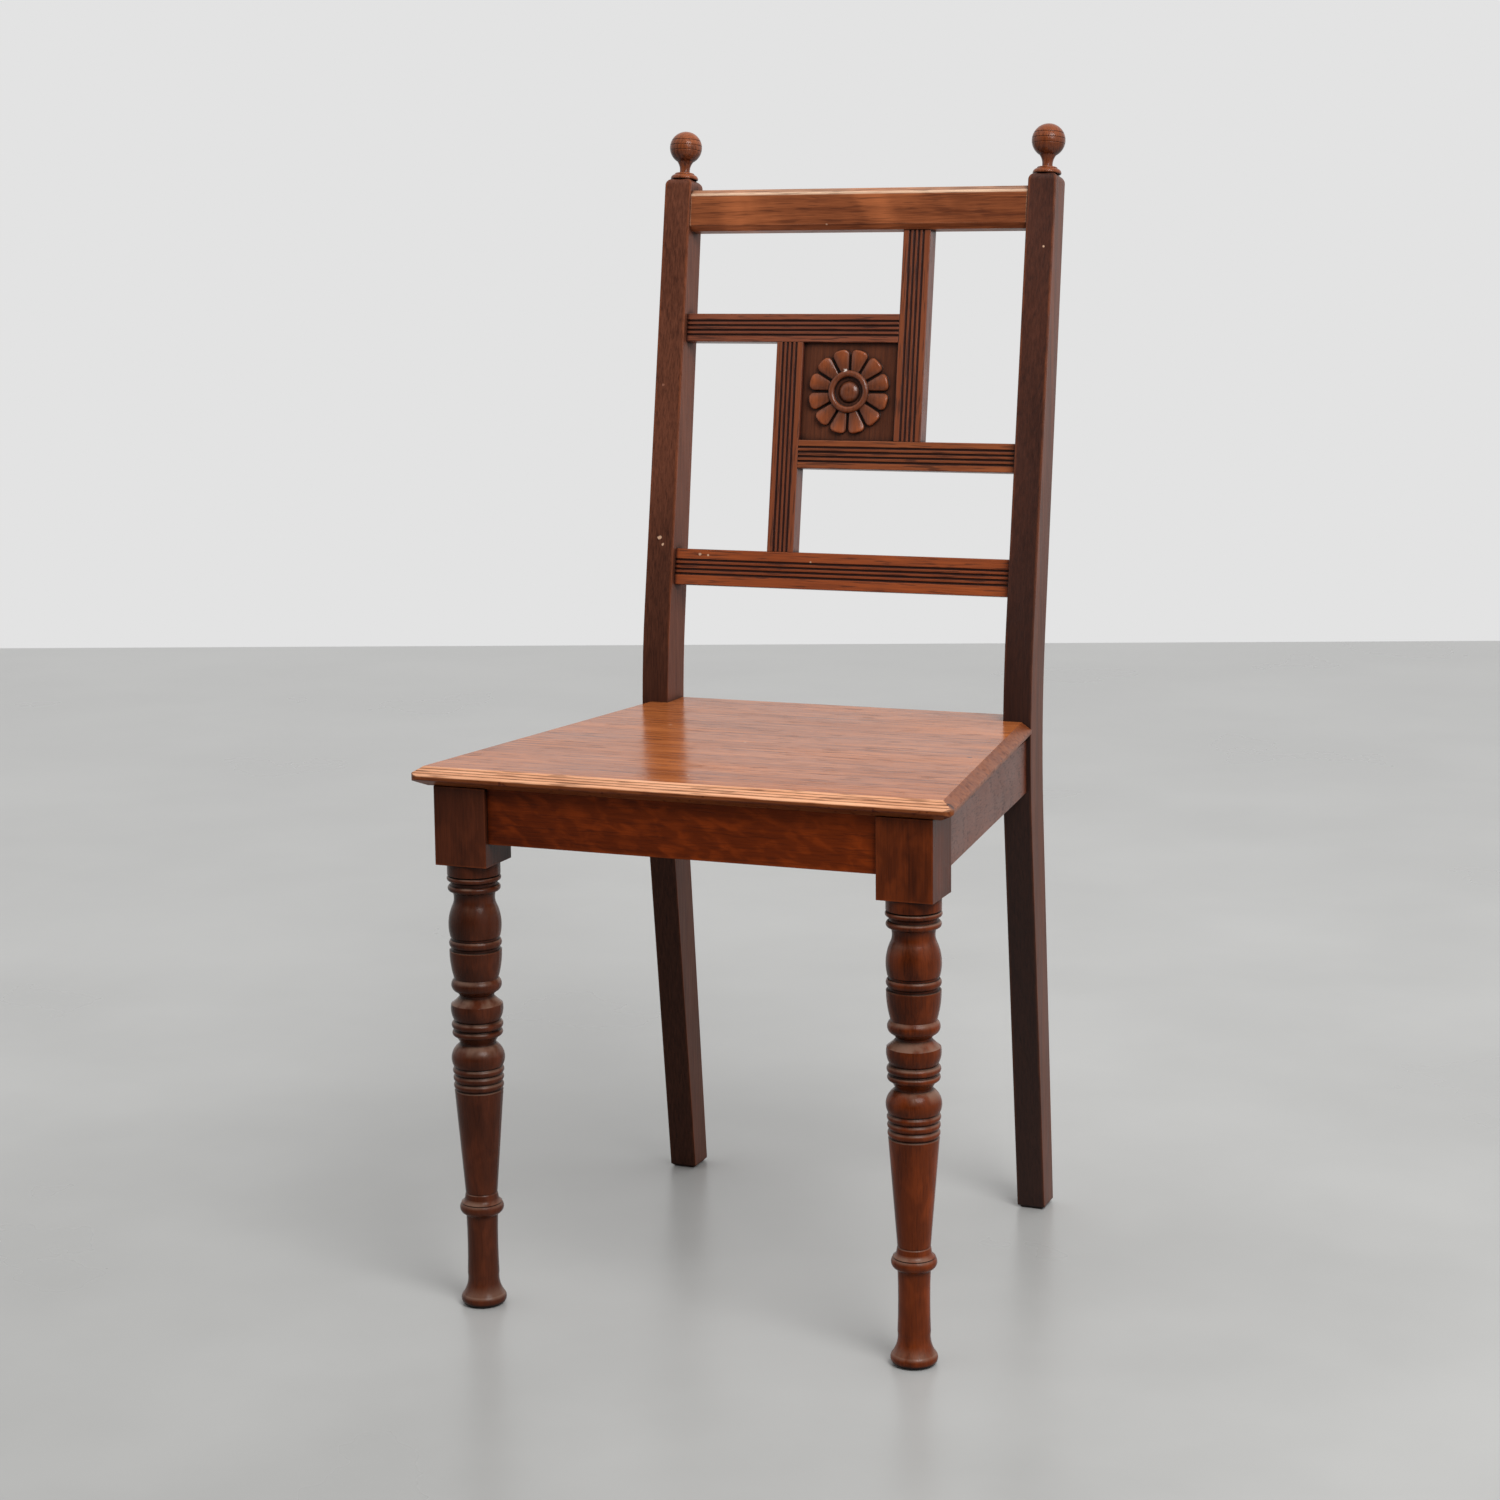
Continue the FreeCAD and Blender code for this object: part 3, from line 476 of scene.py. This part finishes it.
seat_scratches = [((-0.0012, -0.1929, seat_top), 0.0016, bare_chip),
                  ((-0.1092, 0.0203, seat_top), 0.0016, bare_chip),
                  ((-0.0150, -0.0394, seat_top), 0.0014, bare_chip),
                  ((0.1847, -0.0468, seat_top), 0.0026, stain(70, 34, 20)),
                  ((0.2253, -0.2242, seat_top - 0.0055), 0.0042, stain(58, 26, 14))]
seat_oak = oak("seat_oak", right, rearward, heart=(0.0, 0.05, 0.60), dark=stain(120, 58, 28),
               light=stain(208, 123, 67), pore=stain(86, 42, 26), rubbed=stain(250, 188, 148),
               ring_gap=0.0050, wander=0.06, broad=0.35, fibre=1.1, figure=0.12, streak_size=(260, 360, 12),
               pore_size=(300, 420, 36), pores=0.46, grime_and_shade=0.25, grime_and_shade_tone=stain(70, 24, 10), gloss=0.20,
               shine=0.13, relief=0.25, edge_rub=0.35, edge_width=0.003, also_rubbed=front_bevel,
               also_grime_and_shade=dark_edges, marks=seat_scratches)
finish_with(seat_oak, "seat_board")

# Seat screws: countersunk steel wood screws, one up through each corner block into the seat board. They
# are dull with age and spotted with brown rust.
screw_material, start = new_tree("old_steel")
place = start.node("ShaderNodeTexCoord", {}, {}, "Object")
spots = start.node("ShaderNodeTexNoise", {}, {"Vector": place, "Scale": 900.0, "Detail": 3.0})
rust = spots.step(0.50, 0.68)
steel = rust.between(stain(118, 116, 112), stain(92, 58, 38))
start.surface({"Base Color": steel, "Metallic": 1 - rust * 0.8, "Roughness": 0.38 + rust * 0.4})
finish_with(screw_material, "seat_screw_front_left", "seat_screw_front_right",
            "seat_screw_rear_left", "seat_screw_rear_right")

# Floor: one plain pale slab with a dull polish, almost square to the camera and ending at the foot of
# the pale backdrop.
floor_half_width = 9.0
floor_front = -9.0
floor_rear = 3.75
floor_turn = math.radians(19.9)
floor_corners = [(-floor_half_width, floor_front, 0), (floor_half_width, floor_front, 0),
                 (floor_half_width, floor_rear, 0), (-floor_half_width, floor_rear, 0)]
turned = Matrix.Rotation(floor_turn, 3, "Z")
floor_mesh = bpy.data.meshes.new("floor")
floor_mesh.from_pydata([turned @ Vector(corner) for corner in floor_corners], [], [(0, 1, 2, 3)])
floor = bpy.data.objects.new("floor", floor_mesh)
bpy.context.collection.objects.link(floor)
floor_material, start = new_tree("pale_floor")
place = start.node("ShaderNodeTexCoord", {}, {}, "Object")
cloud = start.node("ShaderNodeTexNoise", {}, {"Vector": place, "Scale": 2.2, "Detail": 5.0})
# Painted light: the floor is painted lighter toward the rear and left and darker toward the front and right,
# mixed with the concrete mottle
painted_light_toward_rear_left = place.reach((-0.3, 1, 0))
shade = cloud.step(0.2, 0.8) * 0.35 + painted_light_toward_rear_left.step(-1.4, 1.6) * 0.65
concrete_with_painted_light = shade.between(stain(158, 158, 156), stain(208, 208, 206))
start.surface({"Base Color": concrete_with_painted_light, "Roughness": 0.30 + (cloud - 0.5) * 0.2, "Specular IOR Level": 0.35})
floor.data.materials.append(floor_material)

# Light: a pale room all round that is dim in front, seen as an even pale backdrop, and one wide soft
# lamp above the right front.
backdrop_level = 0.768
room_level = 0.80
dim_level = 0.08
world = bpy.data.worlds.new("studio")
bpy.context.scene.world = world
world.use_nodes = True
world.node_tree.nodes.clear()
start = Shade(world.node_tree)
toward = start.node("ShaderNodeTexCoord", {}, {}, "Generated")
behind = toward.axis(1).step(-0.95, -0.25)
room = dim_level + behind * (room_level - dim_level)
seen = start.node("ShaderNodeLightPath", {}, {}, "Is Camera Ray")
seen = seen + start.node("ShaderNodeLightPath", {}, {}, "Is Transmission Ray")
seen = seen + start.node("ShaderNodeLightPath", {}, {}, "Is Glossy Ray") * behind
seen = seen.math("MINIMUM", seen, 1)
level = room + seen * (backdrop_level - room)
sky = start.node("ShaderNodeBackground", {}, {"Color": (1, 1, 1, 1), "Strength": level})
start.node("ShaderNodeOutputWorld", {}, {"Surface": sky})

lamp_place = Vector((1.4, -1.2, 2.1))
lamp_aim = Vector((0, 0, 0.5))
lamp_width = 1.4
lamp_watts = 42
lamp = bpy.data.objects.new("soft_lamp", bpy.data.lights.new("soft_lamp", "AREA"))
bpy.context.collection.objects.link(lamp)
lamp.location = lamp_place
lamp.rotation_euler = (lamp_aim - lamp_place).to_track_quat("-Z", "Y").to_euler()
lamp.data.shape = "DISK"
lamp.data.size = lamp_width
lamp.data.energy = lamp_watts

# Camera: above seat height at the chair's right front and about two and a half metres away, turned and
# tipped as in the photograph.
camera_place = Vector((0.88976, -2.27442, 0.88360))
camera_film = 36
camera_lens = 69.954
camera_shift = -0.05
camera_limit = 100
yaw = math.radians(21.9243)
pitch = math.radians(8.7152)
roll = math.radians(-0.5709)
ahead = Vector((-math.sin(yaw), math.cos(yaw), 0))
beside = Vector((math.cos(yaw), math.sin(yaw), 0))
overhead = Vector(upward)
forward = math.cos(pitch) * ahead - math.sin(pitch) * overhead
level_up = math.sin(pitch) * ahead + math.cos(pitch) * overhead
camera_x = math.cos(roll) * beside + math.sin(roll) * level_up
camera_y = math.cos(roll) * level_up - math.sin(roll) * beside
camera = bpy.data.objects.new("camera", bpy.data.cameras.new("camera"))
bpy.context.collection.objects.link(camera)
turned = Matrix((camera_x, camera_y, -forward)).transposed().to_4x4()
camera.matrix_world = Matrix.Translation(camera_place) @ turned
camera.data.sensor_width = camera_film
camera.data.lens = camera_lens
camera.data.shift_y = camera_shift
camera.data.clip_end = camera_limit
bpy.context.scene.camera = camera
bpy.context.scene.view_settings.view_transform = "Standard"
